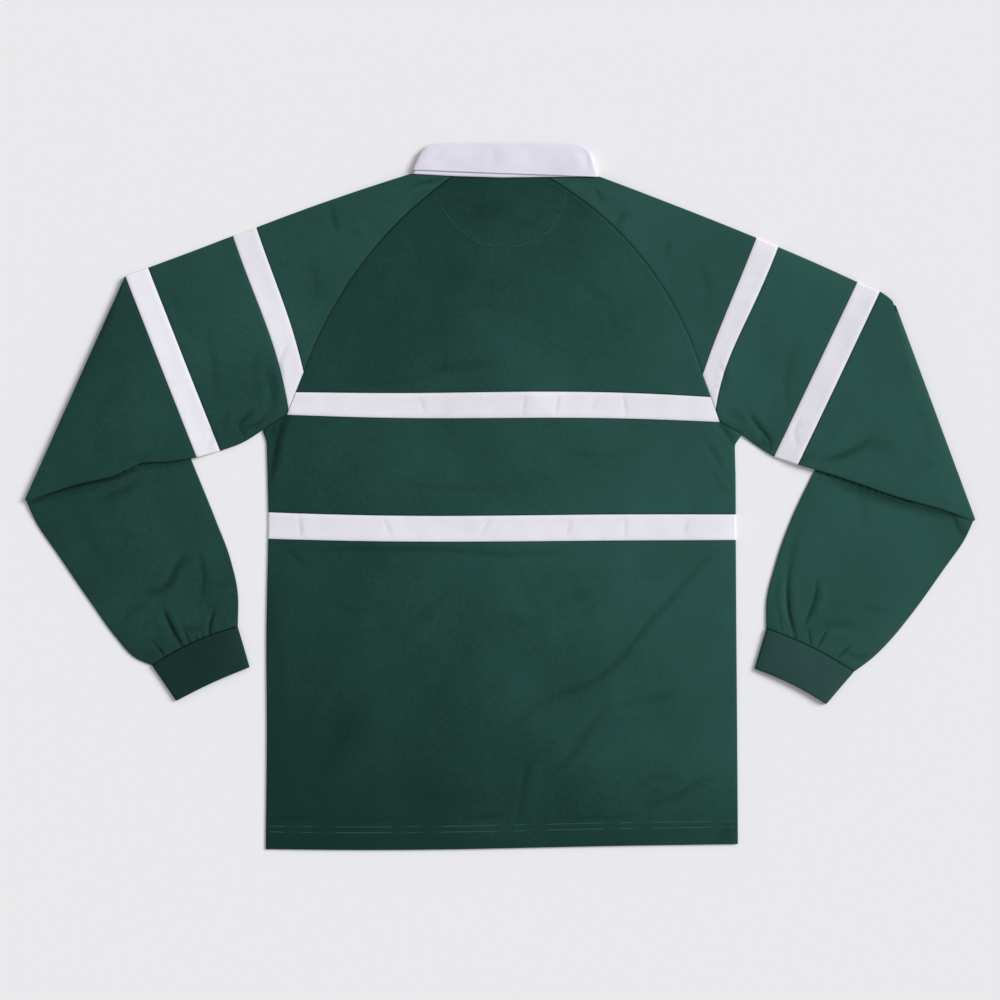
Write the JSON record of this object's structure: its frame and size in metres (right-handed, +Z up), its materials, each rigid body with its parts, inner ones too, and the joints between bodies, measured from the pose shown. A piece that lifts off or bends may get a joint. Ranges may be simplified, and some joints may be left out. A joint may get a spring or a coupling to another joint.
{
  "type": "rugby shirt",
  "caption": "Long-sleeved raglan rugby shirt laid flat on its front, white collar and hoops on green jersey, sleeves folded under at the elbow.",
  "frame": {"origin": "on the surface it lies on, under the middle of the shirt's outline", "axes": "+X across the shirt, from its left sleeve to its right; +Y from hem to collar; +Z up from the surface, out of the shirt's back"},
  "size_m": [1.0653, 0.792, 0.0073],
  "materials": {
    "green_jersey": "matte heavy cotton jersey",
    "white_jersey": "matte cotton jersey",
    "collar_twill": "matte cotton twill",
    "green_rib": "matte ribbed knit",
    "rubber_button": "smooth rubber"
  },
  "bodies": {
    "root": {"back_hoop_lower": "white_jersey", "back_hoop_upper": "white_jersey", "back_lower": "green_jersey", "back_middle": "green_jersey", "back_upper": "green_jersey", "button_1": "rubber_button", "button_2": "rubber_button", "button_3": "rubber_button", "collar": "collar_twill", "front_hoop_lower": "white_jersey", "front_hoop_upper": "white_jersey", "front_lower": "green_jersey", "front_middle": "green_jersey", "front_upper": "green_jersey", "placket_inner": "collar_twill", "placket_outer": "collar_twill", "sleeve_left_cuff": "green_rib", "sleeve_left_head": "green_jersey", "sleeve_left_hoop_lower": "white_jersey", "sleeve_left_hoop_upper": "white_jersey", "sleeve_left_lower": "green_jersey", "sleeve_left_middle": "green_jersey", "sleeve_right_cuff": "green_rib", "sleeve_right_head": "green_jersey", "sleeve_right_hoop_lower": "white_jersey", "sleeve_right_hoop_upper": "white_jersey", "sleeve_right_lower": "green_jersey", "sleeve_right_middle": "green_jersey"}
  },
  "joints": []
}
